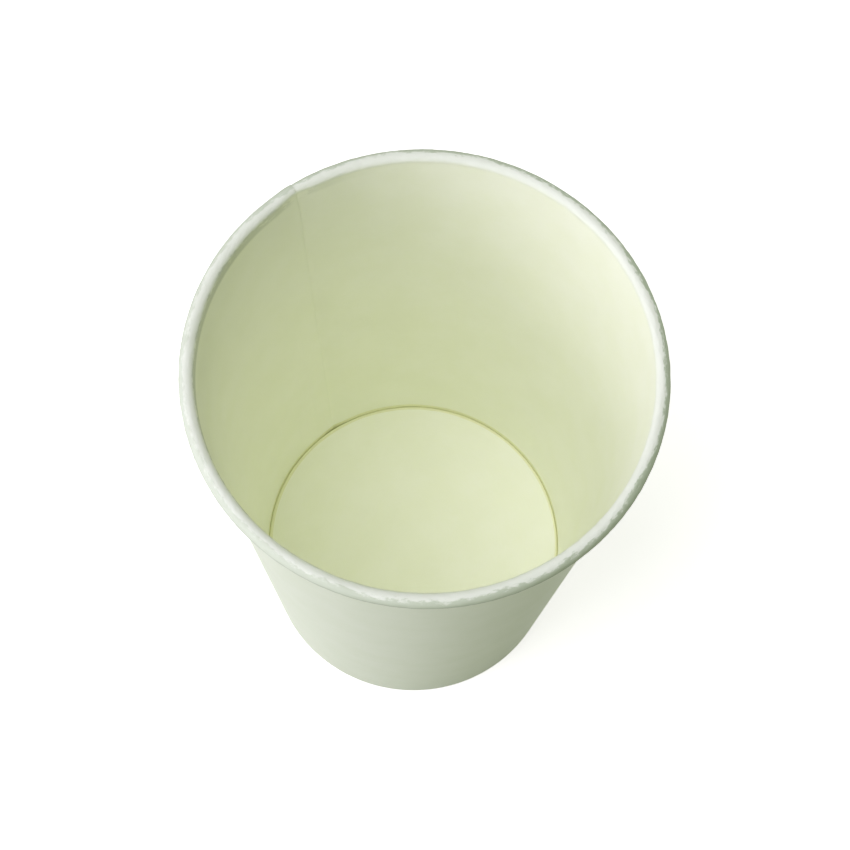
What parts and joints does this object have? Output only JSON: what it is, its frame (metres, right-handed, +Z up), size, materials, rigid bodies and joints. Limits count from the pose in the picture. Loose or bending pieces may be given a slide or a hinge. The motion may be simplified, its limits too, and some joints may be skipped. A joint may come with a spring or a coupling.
{
  "type": "paper cold cup",
  "caption": "Tall tapered paper cup for cold drinks, with a rolled rim, a lapped side seam and a flat base set up inside a folded foot. Empty, with no lid.",
  "frame": {"origin": "centre of the ring that the cup stands on, at table level", "axes": "+Z up along the cup's axis to the mouth; +Y towards the side seam's raw inner edge; +X to the right of it seen from the front"},
  "size_m": [0.09, 0.09, 0.112],
  "materials": {
    "wall_board": "satin, coated on both sides",
    "floor_board": "satin, coated on the upper side"
  },
  "bodies": {
    "root": {"side_wall": "wall_board", "base_disc": "floor_board"}
  },
  "joints": []
}
